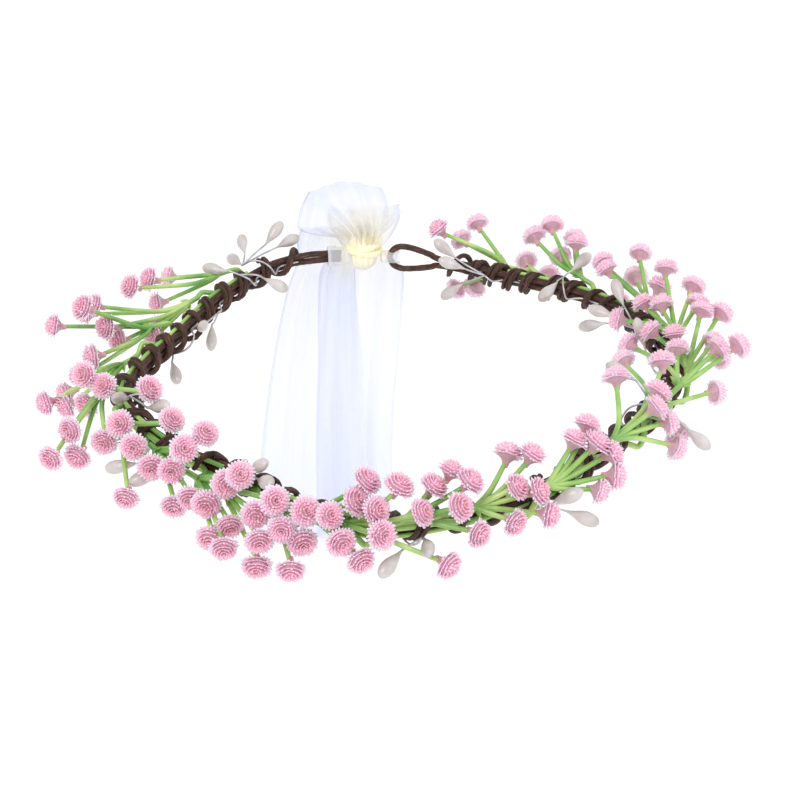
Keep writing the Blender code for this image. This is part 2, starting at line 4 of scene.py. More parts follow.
import bmesh
import bpy
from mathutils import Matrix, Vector, noise
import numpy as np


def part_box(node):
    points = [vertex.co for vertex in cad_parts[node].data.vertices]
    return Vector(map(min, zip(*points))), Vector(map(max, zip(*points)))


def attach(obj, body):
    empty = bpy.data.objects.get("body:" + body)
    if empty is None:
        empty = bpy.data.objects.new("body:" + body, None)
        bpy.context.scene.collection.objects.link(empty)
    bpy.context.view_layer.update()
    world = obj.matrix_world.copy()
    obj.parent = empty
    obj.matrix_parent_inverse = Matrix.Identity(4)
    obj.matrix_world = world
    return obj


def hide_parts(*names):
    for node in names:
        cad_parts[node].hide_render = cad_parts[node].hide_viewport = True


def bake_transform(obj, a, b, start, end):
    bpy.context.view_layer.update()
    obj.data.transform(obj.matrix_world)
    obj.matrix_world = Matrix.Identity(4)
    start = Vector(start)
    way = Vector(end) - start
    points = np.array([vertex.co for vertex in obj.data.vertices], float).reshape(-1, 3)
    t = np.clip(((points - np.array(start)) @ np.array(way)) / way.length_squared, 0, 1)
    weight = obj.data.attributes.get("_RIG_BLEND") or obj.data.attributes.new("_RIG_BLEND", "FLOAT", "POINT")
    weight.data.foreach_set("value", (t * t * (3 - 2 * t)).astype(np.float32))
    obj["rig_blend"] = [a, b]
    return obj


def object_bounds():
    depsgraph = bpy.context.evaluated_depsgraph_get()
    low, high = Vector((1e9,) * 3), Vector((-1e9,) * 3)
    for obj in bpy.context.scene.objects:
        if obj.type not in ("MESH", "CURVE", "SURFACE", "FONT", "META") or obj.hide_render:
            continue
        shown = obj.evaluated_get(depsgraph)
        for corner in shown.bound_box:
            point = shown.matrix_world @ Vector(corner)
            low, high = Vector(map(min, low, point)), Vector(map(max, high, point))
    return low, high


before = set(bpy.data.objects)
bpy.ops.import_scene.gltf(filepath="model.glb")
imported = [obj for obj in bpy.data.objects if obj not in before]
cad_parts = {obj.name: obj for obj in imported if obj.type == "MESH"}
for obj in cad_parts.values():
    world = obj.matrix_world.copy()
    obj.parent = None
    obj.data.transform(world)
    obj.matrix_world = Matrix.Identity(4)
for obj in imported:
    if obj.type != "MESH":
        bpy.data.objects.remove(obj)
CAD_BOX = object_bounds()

# Looks of the flower crown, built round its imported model. +Z is up, the bow is at +Y and the front at -Y.
# Lengths are in metres, unless a name ends in _MM or a comment says otherwise.

MM = 0.001
SEED = 11
SPRAYS = sorted(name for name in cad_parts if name.startswith("flower_spray"))
BUD_CLUSTERS = sorted(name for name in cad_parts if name.startswith("bud_cluster"))
VINES = sorted(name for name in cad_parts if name.startswith("vine"))
KNOT_LOW, KNOT_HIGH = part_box("ribbon_knot")
KNOT = (KNOT_LOW + KNOT_HIGH) * 0.5
KNOT_HALF = (KNOT_HIGH - KNOT_LOW) * 0.5

# Camera, lights (name, place, size, power) and stage.
CAMERA_PLACE = (-0.0774, -0.5372, 0.3009)
CAMERA_LENS = 79.2
CAMERA_SENSOR = 36.0
CAMERA_SHIFT = (0.00125, -0.0341)
CAMERA_CLIP = 0.01
LIGHTS = (("key_light", (-0.5, -0.7, 1.1), 0.8, 7.0), ("fill_light", (0.9, -0.5, 0.6), 0.8, 2.5))
WORLD_COLOUR = (1.0, 1.0, 1.0, 1.0)
WORLD_STRENGTH = 0.95
FLOOR_COLOUR = (0.97, 0.97, 0.98, 1.0)
FLOOR_DROP = 0.006
FLOOR_SIZE = 6.0

# Colours: ramps of (place, colour), and the knot's plain cream.
PETAL_COLOURS = (
    (0.0, (0.95, 0.37, 0.46)), (0.25, (0.97, 0.47, 0.63)), (0.5, (0.97, 0.58, 0.78)),
    (0.8, (0.95, 0.73, 0.91)), (1.0, (0.91, 0.85, 0.98)),
)
PETAL_PATCHES = ((0.3, (1.0, 0.93, 0.95)), (0.7, (1.0, 1.0, 1.0)))
STEM_COLOURS = ((0.32, (0.13, 0.35, 0.06)), (0.5, (0.28, 0.50, 0.12)), (0.66, (0.48, 0.66, 0.22)))
# Paper: dark brown, with painted shade at the low end of the crease height and a painted reddish highlight
# at the high end.
PAPER_SHADE_AND_HIGHLIGHT_COLOURS = (
    (0.36, (0.014, 0.005, 0.003)), (0.48, (0.048, 0.016, 0.009)), (0.58, (0.10, 0.038, 0.022)),
    (0.7, (0.24, 0.10, 0.06)),
)
PEARL_COLOURS = ((0.25, (0.36, 0.31, 0.29)), (0.5, (0.52, 0.48, 0.46)), (0.75, (0.64, 0.61, 0.60)))
SILVER_COLOURS = ((0.3, (0.35, 0.34, 0.36)), (0.7, (0.62, 0.61, 0.64)))
CLOTH_COLOURS = ((0.35, (0.62, 0.68, 0.91)), (0.65, (0.76, 0.80, 0.95)))
KNOT_CREAM = (0.96, 0.88, 0.58)
# How solid the sheer cloth is, as (where it is thin, where it is dense), and what its threads add.
CLOTH_ALPHA = (0.38, 0.8)
KNOT_ALPHA = (0.45, 0.95)
THREAD_ALPHA = 0.12
WEAVE = {"Scale": 900.0, "Distortion": 0.4}
# The colour mix node's sockets: its factor and two colours, and its colour output.
MIX_INPUTS = (0, 6, 7)
MIX_OUTPUT = 2

# Reading the CAD tubes: corners closer than WELD are one, and a tip's edges differ by less than EVEN.
WELD = 1e-6
EVEN = 4e-6
TWIG_SIDES = 5
VINE_SIDES = 4
WIRE_SIDES = 6
# A tube's first ring tells what it is: a head is wider than HEAD_LEAST_RADIUS, a stem or wire narrower
# than FOOT_MOST_RADIUS.
HEAD_LEAST_RADIUS = 2.5 * MM
FOOT_MOST_RADIUS = 1.2 * MM
# A tube's end cap stands out by this share of its radius.
CAP_BULGE = 0.5

# Flower heads: (inner radius, height, rim radius, height, tip radius, height, teeth, paleness), in mm.
HEAD_LAYERS_MM = (
    (2.6, 1.2, 3.9, 1.6, 4.85, 1.55, 26, 1.0),
    (2.8, 1.7, 3.8, 2.5, 4.7, 2.8, 25, 0.8),
    (2.6, 2.4, 3.35, 3.4, 4.15, 3.95, 22, 0.55),
    (2.2, 3.0, 2.65, 4.0, 3.3, 4.75, 18, 0.42),
    (1.5, 3.5, 1.8, 4.5, 2.3, 5.25, 13, 0.35),
    (0.8, 3.8, 0.95, 4.8, 1.25, 5.5, 8, 0.3),
    (0.15, 4.0, 0.3, 4.9, 0.45, 5.6, 4, 0.25),
)
# The cup under the petals and the soft core that they grow from: (radius, height, paleness).
CORE_MM = (
    (0.85, -2.2, 0.0), (0.95, -1.2, 0.0), (1.3, -0.3, 0.04), (2.0, 0.45, 0.1), (2.9, 1.05, 0.25),
    (3.3, 1.8, 0.3), (3.1, 2.7, 0.3), (2.5, 3.5, 0.25), (1.5, 4.0, 0.2), (0.4, 4.2, 0.15),
)
CORE_SIDES = 12
HEAD_RISE = 4.4 * MM
HEAD_SIZES = (0.94, 1.06)
HEAD_TILT = 0.08
PETAL_WALL = 0.14 * MM
# A tooth's shoulder is this share of the way from rim to tip; widths are shares of half a tooth's turn.
TOOTH_SHOULDER = 0.72
TOOTH_NARROW = 0.62
TIP_NARROW = TOOTH_NARROW * 0.4
TOOTH_REACH_MM = (-0.4, 0.3)
TOOTH_LIFT_MM = 0.4
RIM_TURN_SCATTER = 0.15
RIM_LIFT_MM = 0.15
INNER_PALE = 0.2
RIM_PALE = 0.55

# Stems, stalks and leaflets.
TRUNK_RADIUS = 1.0 * MM
STALK_RADIUS = 0.78 * MM
STALK_WIDE = 1.25
STALK_TAPER = 0.3
STALK_INTO_HEAD_MM = 0.4
HEAD_RINGS = 2
STEM_SIDES = 10
STEM_STEP = 1.2 * MM
LEAF_LENGTH = 5.0 * MM
LEAF_LENGTHS = (0.7, 1.2)
LEAF_TILT = 0.5
LEAF_BEND = 0.12
LEAF_HALF_WIDTH = 0.9 * MM
LEAF_HALF_WALL = 0.25 * MM
LEAF_SIDES = 8
# A leaflet's outline: (share of its length, share of its half width).
LEAF_OUTLINE = ((0.0, 0.5), (0.25, 0.95), (0.5, 1.0), (0.75, 0.65), (1.0, 0.12))
# Stems that run on under the vine: two lanes, by degrees round the wire, between two places on the band.
BUNDLE_TURNS = (-70.0, 70.0)
BUNDLE_SWAY = 12.0
BUNDLE_SWAY_PACE = 0.9
BUNDLE_LANE_SHIFT = 2.0
BUNDLE_OUTWARD = 0.5 * MM
BUNDLE_REACH = 2.7 * MM
BUNDLE_RADIUS = 0.75 * MM
BUNDLE_FROM = 118.0
BUNDLE_TO = 418.0
BOW_DEGREES = 90.0

# Paper-covered wires.
WIRE_RADIUS = 1.22 * MM
PAPER_SIDES = 14
PAPER_STEP = 0.6 * MM
RING_STEP = PAPER_STEP * 1.5
# The paper's twist, in radians for each mm, the size of its grain, and how much ribs and grain show.
CRINKLE_WIND = 0.35
GRAIN_ROUND = 1.3
GRAIN_ALONG = 0.8
RIB_SHARE = 0.45
GRAIN_SHARE = 1.2
VINE_RADIUS = 1.1 * MM
VINE_FLATNESS = 0.82
VINE_WANDER = 1.5 * MM
VINE_WANDER_UP = 0.7
VINE_WANDER_PACE = 0.03
VINE_SWELL = 0.25
VINE_SWELL_PACE = 0.11
# Where a second strand runs beside the vine: (from, to) as shares of its length, and how far beside it.
VINE_DOUBLES = ((0.02, 0.2, 2.0 * MM), (0.34, 0.52, -2.1 * MM), (0.66, 0.93, 2.2 * MM))
DOUBLE_RADIUS = VINE_RADIUS * 0.8
DOUBLE_FLATNESS = 0.85

# Pip buds.
BUD_SIDES = 16
BUD_RINGS = 14
BUD_RING_CROWDING = 1.5
BUD_LAST_RING = 0.995
BUD_WIDEST = 0.64
BUD_FULLNESS = 0.8
BUD_RADIUS = 2.4 * MM
BUD_LENGTH = 11.5 * MM
BUD_LENGTHS = (0.94, 1.02)
BUD_FLATNESS = 0.78
BUD_BASE_RING = 3
BUD_WIRE_RADIUS = 0.36 * MM
BUD_WIRE_SIDES = 8
WIRE_INTO_BUD = 1.0 * MM

# Ribbon: its width, the lengths that its weave is laid out on, and how finely each piece is divided.
RIBBON_WIDTH = 0.040
TAIL_WEAVE_LENGTH = 0.15
LOOP_WEAVE_LENGTH = 0.09
TAIL_COLUMNS = 48
TAIL_ROWS = 90
LOOP_COLUMNS = 40
LOOP_ROWS = 72
STRAP_COLUMNS = 64
STRAP_ROWS = 10
# Where each ribbon piece starts and ends its bend away from the knot.
TAIL_BEND = ((0.0, 0.1067, 0.002), (0.0, 0.1067, -0.014))
FRONT_BEND = ((0.0, 0.098, 0.009), (0.0, 0.098, 0.022))
BACK_BEND = ((0.0, 0.104, 0.004), (0.0, 0.115, 0.006))
# Tails, from the knot down: (left x, right x, y, z).
TAIL_LEFT_MM = (
    (-24, -2, 108, 9), (-26, -2, 109, 2), (-26, -2, 109, -6), (-31, -2, 109, -22), (-37, -1, 108, -50),
    (-43, 0, 108, -85), (-47, 2, 108, -115), (-49, 2, 108, -141),
)
TAIL_RIGHT_MM = (
    (-5, 5, 106, 2), (-9, 10, 108, -4), (-16, 17, 110, -12), (-18, 17, 111, -30), (-19, 16, 111, -55),
    (-20, 14, 111, -90), (-20, 13, 111, -141),
)
# Loops, out from the knot's centre and back to it: (left, right, back, up).
LOOP_FRONT_MM = (
    (-4, 4, -4, 4), (-6, 6, -5.5, 9), (-12, 8, -4, 15), (-18, 10, -1, 19.5), (-20, 9, 3, 22.5),
    (-21, 8, 7, 22.5), (-23, 10, 10, 17), (-25, 11, 10, 11), (-25, 9, 8, 5), (-12, 4, 6, 2),
)
LOOP_BACK_MM = (
    (-3, 4, 4, -3), (-8, 11, 10, -2), (-12, 17, 18, 3), (-12, 17, 21.5, 7), (-10, 18, 19, 10),
    (-10, 18, 15, 8), (-7, 12, 11, 3), (-3, 4, 5, 1),
)
# Pleats: a tail's are deepest where it is far narrower than its full width, a loop's close to the knot.
TAIL_LEAST_WIDTH_MM = 1.0
TAIL_FULL_WIDTH_MM = 46.0
TAIL_PLEAT_MM = 0.8
TAIL_SPARE_PLEAT_MM = 3.2
TAIL_SWAY_MM = 0.8
TAIL_PLEATS = 2.6
TAIL_SMALL_PLEATS = 5.3
LOOP_PLEAT_MM = 0.15
LOOP_KNOT_PLEAT_MM = 2.6
LOOP_PLEAT_REACH_MM = 20.0
LOOP_WAVE_MM = 0.6
LOOP_CROWN_MM = 2.2
LOOP_PLEATS = 4.3
LOOP_LOOK_AHEAD = 0.02
# Tints: how far cream and gathered cloth reach from the knot, and how wide and dense the woven edges are.
CREAM_REACH = 24.0 * MM
CREAM_UPRIGHT = 0.6
CREAM_FADE = 1.5
GATHER_REACH = 14.0 * MM
EDGE_WIDTH = 0.03
EDGE_DENSITY = 0.75
STRAP_EDGE_WIDTH = 0.12
STRAP_EDGE_DENSITY = 0.55
STRAP_DENSITY = 0.05
STRAP_RIPPLE = 0.05
STRAP_RIPPLES = 9.0
STRAP_SLANT = 6.0
STRAP_TWIST = 0.5
STRAP_PINCH = 0.12
# The knot's core, and the two bands across it: (tilt in degrees, lift in mm).
KNOT_RINGS = 20
KNOT_SIDES = 72
KNOT_END = 0.98
KNOT_TALL = 1.05
KNOT_WIDE = 0.96
KNOT_WAIST = 0.4
KNOT_END_CREAM_LOSS = 0.35
KNOT_BANDS = ((14.0, 0.8), (-9.0, -1.2))
KNOT_BAND_RADIUS = 1.5 * MM
KNOT_BAND_STEPS = 48
KNOT_BAND_SIDES = 16
KNOT_BAND_INSET = (0.95, 0.97)
KNOT_BAND_RIPPLE = 0.12


# ---------------------------------------------------------------- materials

def add_node(tree, kind, inputs=(), **fields):
    """A shader node with its fields set, and its inputs' values by name or number."""
    made = tree.nodes.new(kind)
    for field, value in fields.items():
        setattr(made, field, value)
    for socket, value in dict(inputs).items():
        made.inputs[socket].default_value = value
    return made


def new_material(name, roughness, **inputs):
    """A Principled material; the inputs are set on the shader's own sockets."""
    made = bpy.data.materials.new(name)
    made.use_nodes = True
    tree = made.node_tree
    shader = tree.nodes["Principled BSDF"]
    shader.inputs["Roughness"].default_value = roughness
    for socket, value in inputs.items():
        shader.inputs[socket.replace("_", " ")].default_value = value
    return made, tree, shader


def ramp(tree, factor, stops):
    """A colour ramp of (place, colour) stops, fed by the factor's socket."""
    made = add_node(tree, "ShaderNodeValToRGB")
    elements = made.color_ramp.elements
    while len(elements) < len(stops):
        elements.new(0.5)
    for element, (place, colour) in zip(elements, stops):
        element.position = place
        element.color = (*colour, 1.0)
    tree.links.new(factor, made.inputs["Fac"])
    return made.outputs["Color"]


def noise_on(tree, scale, detail=3.0, stretch=(1.0, 1.0, 1.0), source="Object"):
    """Noise on the object's own coordinates, or on its UV map, stretched along each axis."""
    where = add_node(tree, "ShaderNodeTexCoord")
    mapping = add_node(tree, "ShaderNodeMapping", {"Scale": stretch})
    texture = add_node(tree, "ShaderNodeTexNoise", {"Scale": scale, "Detail": detail})
    tree.links.new(where.outputs[source], mapping.inputs["Vector"])
    tree.links.new(mapping.outputs["Vector"], texture.inputs["Vector"])
    return texture.outputs["Fac"]


def mix_colours(tree, factor, first, second, blend="MIX"):
    """Mix two colours, which may be sockets, by a factor that may be a socket or a number."""
    made = add_node(tree, "ShaderNodeMix", data_type="RGBA", blend_type=blend)
    for place, value in zip(MIX_INPUTS, (factor, first, second)):
        socket = made.inputs[place]
        if isinstance(value, bpy.types.NodeSocket):
            tree.links.new(value, socket)
        elif isinstance(value, tuple):
            socket.default_value = (*value, 1.0)
        else:
            socket.default_value = value
    return made.outputs[MIX_OUTPUT]


def add_bump(tree, shader, height, strength, distance):
    """Roughen a shader's surface by the height's socket."""
    bump = add_node(tree, "ShaderNodeBump", {"Strength": strength, "Distance": distance})
    tree.links.new(height, bump.inputs["Height"])
    tree.links.new(bump.outputs["Normal"], shader.inputs["Normal"])


def petal_plastic():
    """Soft translucent plastic: salmon pink inside, whitish lavender at the petals' tips."""
    made, tree, shader = new_material(
        "petal_plastic", roughness=0.42, Subsurface_Weight=0.6, Subsurface_Scale=0.003,
        Subsurface_Radius=(1.0, 0.6, 0.7), Coat_Weight=0.12, Coat_Roughness=0.3,
    )
    pale = add_node(tree, "ShaderNodeAttribute", attribute_name="pale")
    colour = ramp(tree, pale.outputs["Fac"], PETAL_COLOURS)
    patches = ramp(tree, noise_on(tree, scale=90.0), PETAL_PATCHES)
    tree.links.new(mix_colours(tree, 1.0, colour, patches, "MULTIPLY"), shader.inputs["Base Color"])
    add_bump(tree, shader, noise_on(tree, scale=1400.0, detail=2.0), strength=0.25, distance=0.0002)
    return made


def stem_plastic():
    """Glossy moulded green, yellower in places, with fine lengthwise flow marks."""
    made, tree, shader = new_material(
        "stem_plastic", roughness=0.32, Subsurface_Weight=0.12, Subsurface_Scale=0.001, Coat_Weight=0.25,
    )
    colour = ramp(tree, noise_on(tree, scale=55.0, detail=4.0), STEM_COLOURS)
    tree.links.new(colour, shader.inputs["Base Color"])
    marks = noise_on(tree, scale=6.0, stretch=(1.0, 60.0, 1.0), source="UV")
    add_bump(tree, shader, marks, strength=0.2, distance=0.0002)
    return made


def crinkled_paper():
    """Dark brown paper twisted round wire, with painted shade in the grooves of its creases and a painted
    reddish highlight on their ridges.
    """
    made, tree, shader = new_material("crinkled_paper", roughness=0.6)
    creases = noise_on(tree, scale=5.0, detail=8.0, stretch=(4.0, 60.0, 1.0), source="UV")
    # The colour follows the same crease height as the bump: painted shade in the grooves, a painted reddish
    # highlight on the ridges.
    tree.links.new(ramp(tree, creases, PAPER_SHADE_AND_HIGHLIGHT_COLOURS), shader.inputs["Base Color"])
    add_bump(tree, shader, creases, strength=1.0, distance=0.0009)
    return made


def pearl_lacquer():
    """Warm grey-white lacquer with a pearly coat and faint specks."""
    made, tree, shader = new_material(
        "pearl_lacquer", roughness=0.3, Subsurface_Weight=0.1, Subsurface_Scale=0.001,
        Coat_Weight=0.5, Coat_Roughness=0.15,
    )
    specks = noise_on(tree, scale=140.0, detail=4.0)
    tree.links.new(ramp(tree, specks, PEARL_COLOURS), shader.inputs["Base Color"])
    add_bump(tree, shader, noise_on(tree, scale=900.0), strength=0.12, distance=0.0002)
    return made


def silver_wire():
    """Thin bare wire, a little dulled in places."""
    made, tree, shader = new_material("silver_wire", roughness=0.35, Metallic=0.6)
    tree.links.new(ramp(tree, noise_on(tree, scale=400.0), SILVER_COLOURS), shader.inputs["Base Color"])
    return made


def woven_threads(tree):
    """The threads of a plain weave that run both ways over the UV map."""
    where = add_node(tree, "ShaderNodeTexCoord")
    threads = add_node(tree, "ShaderNodeMath", operation="MAXIMUM")
    for socket, direction in zip(threads.inputs, "XY"):
        wave = add_node(tree, "ShaderNodeTexWave", WEAVE, bands_direction=direction)
        tree.links.new(where.outputs["UV"], wave.inputs["Vector"])
        tree.links.new(wave.outputs["Fac"], socket)
    return threads.outputs[0]


def organza(name, alpha_low, alpha_high):
    """Sheer woven ribbon: cool white, denser at its edges and where it is gathered, cream at the knot."""
    made, tree, shader = new_material(name, roughness=0.42, Sheen_Weight=0.35, Sheen_Roughness=0.4)
    cream = add_node(tree, "ShaderNodeAttribute", attribute_name="cream")
    dense = add_node(tree, "ShaderNodeAttribute", attribute_name="dense")
    cloth = ramp(tree, noise_on(tree, scale=9.0, stretch=(18.0, 1.0, 1.0), source="UV"), CLOTH_COLOURS)
    colour = mix_colours(tree, cream.outputs["Fac"], cloth, KNOT_CREAM)
    tree.links.new(colour, shader.inputs["Base Color"])
    threads = woven_threads(tree)
    thread_alpha = add_node(tree, "ShaderNodeMath", {1: THREAD_ALPHA}, operation="MULTIPLY")
    tree.links.new(threads, thread_alpha.inputs[0])
    body = add_node(tree, "ShaderNodeMapRange", {"To Min": alpha_low, "To Max": alpha_high})
    tree.links.new(dense.outputs["Fac"], body.inputs["Value"])
    alpha = add_node(tree, "ShaderNodeMath", operation="ADD", use_clamp=True)
    tree.links.new(body.outputs["Result"], alpha.inputs[0])
    tree.links.new(thread_alpha.outputs[0], alpha.inputs[1])
    tree.links.new(alpha.outputs[0], shader.inputs["Alpha"])
    add_bump(tree, shader, threads, strength=0.1, distance=0.0001)
    return made


# ---------------------------------------------------------------- mesh helpers

def smooth_path(points, step):
    """A Catmull-Rom curve through the points, with a point about every step."""
    found = []
    last = len(points) - 1
    for i in range(last):
        p0, p1, p2, p3 = (points[min(max(j, 0), last)] for j in (i - 1, i, i + 1, i + 2))
        count = max(1, round((p2 - p1).length / step))
        for k in range(count):
            t = k / count
            found.append(0.5 * (
                2.0 * p1 + (p2 - p0) * t + (2.0 * p0 - 5.0 * p1 + 4.0 * p2 - p3) * t * t
                + (3.0 * p1 - p0 - 3.0 * p2 + p3) * t ** 3
            ))
    found.append(points[last])
    return found


def new_mesh(*attributes):
    """An empty mesh with a UV map, and a number on each vertex for each attribute's name."""
    mesh = bmesh.new()
    mesh.loops.layers.uv.new("UVMap")
    for attribute in attributes:
        mesh.verts.layers.float.new(attribute)
    return mesh


def add_tube(mesh, path, radii, sides, flatness=1.0, shape=None):
    """A closed tube along a path; shape(share round, length along) scales the radius point by point."""
    uv = mesh.loops.layers.uv["UVMap"]
    rings = []
    lengths = [0.0]
    side = None
    for i, point in enumerate(path):
        ahead = (path[min(i + 1, len(path) - 1)] - path[max(i - 1, 0)]).normalized()
        side = ahead.orthogonal() if side is None else side - ahead * side.dot(ahead)
        side = side.normalized()
        cross = ahead.cross(side)
        if i:
            lengths.append(lengths[-1] + (point - path[i - 1]).length)
        ring = []
        for k in range(sides):
            turn = math.tau * k / sides
            radius = radii[i] * (shape(k / sides, lengths[-1]) if shape else 1.0)
            offset = side * math.cos(turn) * radius + cross * math.sin(turn) * radius * flatness
            ring.append(mesh.verts.new(point + offset))
        rings.append(ring)
    for i, (near, far) in enumerate(zip(rings, rings[1:])):
        for k in range(sides):
            face = mesh.faces.new((near[k], near[(k + 1) % sides], far[(k + 1) % sides], far[k]))
            corners = ((k, i), (k + 1, i), (k + 1, i + 1), (k, i + 1))
            for loop, (around, along) in zip(face.loops, corners):
                loop[uv].uv = (around / sides, lengths[along])
    start = mesh.verts.new(path[0] + (path[0] - path[1]).normalized() * radii[0] * CAP_BULGE)
    end = mesh.verts.new(path[-1] + (path[-1] - path[-2]).normalized() * radii[-1] * CAP_BULGE)
    for k in range(sides):
        mesh.faces.new((start, rings[0][(k + 1) % sides], rings[0][k]))
        mesh.faces.new((end, rings[-1][k], rings[-1][(k + 1) % sides]))


def finish_piece(name, mesh, material, nodes=(), body="root"):
    """Turn a bmesh into a shown piece that rides on a body and may stand for CAD nodes."""
    data = bpy.data.meshes.new(name)
    mesh.to_mesh(data)
    mesh.free()
    data.shade_smooth()
    data.materials.append(material)
    made = bpy.data.objects.new(name, data)
    bpy.context.scene.collection.objects.link(made)
    if body:
        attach(made, body)
    if nodes:
        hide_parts(*nodes)
    return made


# ---------------------------------------------------------------- reading the CAD tubes

def welded(name):
    """A CAD node's mesh, with its split corners joined again."""
    mesh = bmesh.new()
    mesh.from_mesh(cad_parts[name].data)
    bmesh.ops.remove_doubles(mesh, verts=mesh.verts, dist=WELD)
    mesh.verts.index_update()
    return mesh


def follow_tube(tip, sides):
    """The rings (centre, radius) from a tube's tip inwards, and the corners where the tube joins others."""
    seen = {tip}
    layer = [tip]
    rings = []
    while True:
        met = {edge.other_vert(vert) for vert in layer for edge in vert.link_edges} - seen
        layer = sorted(met, key=lambda vert: vert.index)
        corners = [vert.co.copy() for vert in layer]
        if len(layer) != sides:
            return rings, corners
        centre = sum(corners, Vector()) / sides
        rings.append((centre, max((corner - centre).length for corner in corners)))
        seen |= met


def tube_ends(name, sides):
    """Every closed tube end of a CAD node, as (tip, rings, corners where it joins the rest)."""
    mesh = welded(name)
    found = []
    for vert in mesh.verts:
        if len(vert.link_edges) != sides:
            continue
        lengths = [edge.calc_length() for edge in vert.link_edges]
        if max(lengths) - min(lengths) < EVEN:
            rings, corners = follow_tube(vert, sides)
            if rings:
                found.append((vert.co.copy(), rings, corners))
    mesh.free()
    return found


def middle(points):
    """The mean of some points."""
    return sum(points, Vector()) / len(points)


# ---------------------------------------------------------------- flower sprays

def scatter(rng, reach):
    """A random vector, each part within reach of nought."""
    return Vector([rng.uniform(-reach, reach) for _ in range(3)])


def add_core(mesh, pale, place):
    """The cup that the stalk widens into, and the soft dome under the petals."""
    rings = []
    for radius, height, tint in CORE_MM:
        ring = []
        for k in range(CORE_SIDES):
            vert = mesh.verts.new(place(radius, height, math.tau * k / CORE_SIDES))
            vert[pale] = tint
            ring.append(vert)
        rings.append(ring)
    for near, far in zip(rings, rings[1:]):
        for k in range(CORE_SIDES):
            after = (k + 1) % CORE_SIDES
            mesh.faces.new((near[k], near[after], far[after], far[k]))


def add_petal_ring(mesh, pale, place, layer, rng):
    """One frill: a continuous ring whose rim is cut into short round-ended teeth."""
    inner_r, inner_h, rim_r, rim_h, tip_r, tip_h, count, paleness = layer
    start = rng.uniform(0.0, math.tau)
    half = math.pi / count
    inner, rim = [], []
    for k in range(count):
        turn = start + half * (2 * k - 1) + rng.uniform(-RIM_TURN_SCATTER, RIM_TURN_SCATTER) * half
        inner.append(mesh.verts.new(place(inner_r, inner_h, turn)))
        rim.append(mesh.verts.new(place(rim_r, rim_h + rng.uniform(-RIM_LIFT_MM, RIM_LIFT_MM), turn)))
        inner[-1][pale] = INNER_PALE
        rim[-1][pale] = RIM_PALE * paleness
    for k in range(count):
        turn = start + half * 2 * k
        lift = rng.uniform(-TOOTH_LIFT_MM, TOOTH_LIFT_MM)
        reach = rng.uniform(*TOOTH_REACH_MM)
        shoulder_r = rim_r + (tip_r + reach - rim_r) * TOOTH_SHOULDER
        shoulder_h = rim_h + (tip_h + lift - rim_h) * TOOTH_SHOULDER
        after = (k + 1) % count
        mesh.faces.new((inner[k], inner[after], rim[after], rim[k]))
        outline = (
            (shoulder_r, shoulder_h, TOOTH_NARROW), (tip_r + reach, tip_h + lift, TIP_NARROW),
            (tip_r + reach, tip_h + lift, -TIP_NARROW), (shoulder_r, shoulder_h, -TOOTH_NARROW),
        )
        corners = [rim[after]]
        for radius, height, aside in outline:
            corners.append(mesh.verts.new(place(radius, height, turn + aside * half)))
            corners[-1][pale] = paleness
        mesh.faces.new((rim[k], corners[0], corners[1], corners[4]))
        mesh.faces.new((corners[4], corners[1], corners[2], corners[3]))


def add_head(mesh, base, axis, rng):
    """A fringed flower head on the end of its stalk."""
    pale = mesh.verts.layers.float["pale"]
    axis = (axis + scatter(rng, HEAD_TILT)).normalized()
    side = axis.orthogonal().normalized()
    cross = axis.cross(side)
    size = rng.uniform(*HEAD_SIZES) * MM

    def place(radius, height, turn):
        outward = side * math.cos(turn) + cross * math.sin(turn)
        return base + outward * radius * size + axis * height * size

    add_core(mesh, pale, place)
    for layer in HEAD_LAYERS_MM:
        add_petal_ring(mesh, pale, place, layer, rng)


def add_leaf(mesh, root, way, length):
    """A small pointed leaflet."""
    bend = way.orthogonal().normalized() * length * LEAF_BEND
    path = [root + way * length * share + bend * share * share for share, _ in LEAF_OUTLINE]
    radii = [LEAF_HALF_WIDTH * share for _, share in LEAF_OUTLINE]
    add_tube(mesh, path, radii, LEAF_SIDES, LEAF_HALF_WALL / LEAF_HALF_WIDTH)


def dress_spray(name, petals, green, rng):
    """Rebuild one spray: its stem, stalks and leaflets, and its fringed heads."""
    ends = tube_ends(name, TWIG_SIDES)
    heads = [end for end in ends if end[1][0][1] > HEAD_LEAST_RADIUS]
    feet = [end for end in ends if end[1][0][1] < FOOT_MOST_RADIUS]
    hub = middle([corner for _, _, corners in heads for corner in corners])
    stems = new_mesh()
    tops = new_mesh("pale")
    for _, rings, _ in feet:
        trunk = smooth_path([centre for centre, _ in rings] + [hub], STEM_STEP)
        add_tube(stems, trunk, [TRUNK_RADIUS] * len(trunk), STEM_SIDES)
    for tip, rings, _ in heads:
        stalk = [hub] + [centre for centre, _ in reversed(rings[HEAD_RINGS:])]
        axis = (tip - (stalk[-1] if len(stalk) > 1 else rings[-1][0])).normalized()
        base = tip - axis * HEAD_RISE
        stalk.append(base + axis * STALK_INTO_HEAD_MM * MM)
        stalk = smooth_path(stalk, STEM_STEP)
        last = len(stalk) - 1
        radii = [STALK_RADIUS * (STALK_WIDE - STALK_TAPER * i / last) for i in range(len(stalk))]
        add_tube(stems, stalk, radii, STEM_SIDES)
        add_head(tops, base, axis, rng)
        way = (stalk[len(stalk) // 3] - hub).normalized()
        way = (way + scatter(rng, LEAF_TILT)).normalized()
        add_leaf(stems, hub, way, LEAF_LENGTH * rng.uniform(*LEAF_LENGTHS))
    number = name[-2:]
    finish_piece(f"stems_{number}", stems, green, [name])
    shown = finish_piece(f"flower_heads_{number}", tops, petals, [name])
    wall = shown.modifiers.new("wall", "SOLIDIFY")
    wall.thickness = PETAL_WALL
    wall.offset = 0.0


# ---------------------------------------------------------------- buds

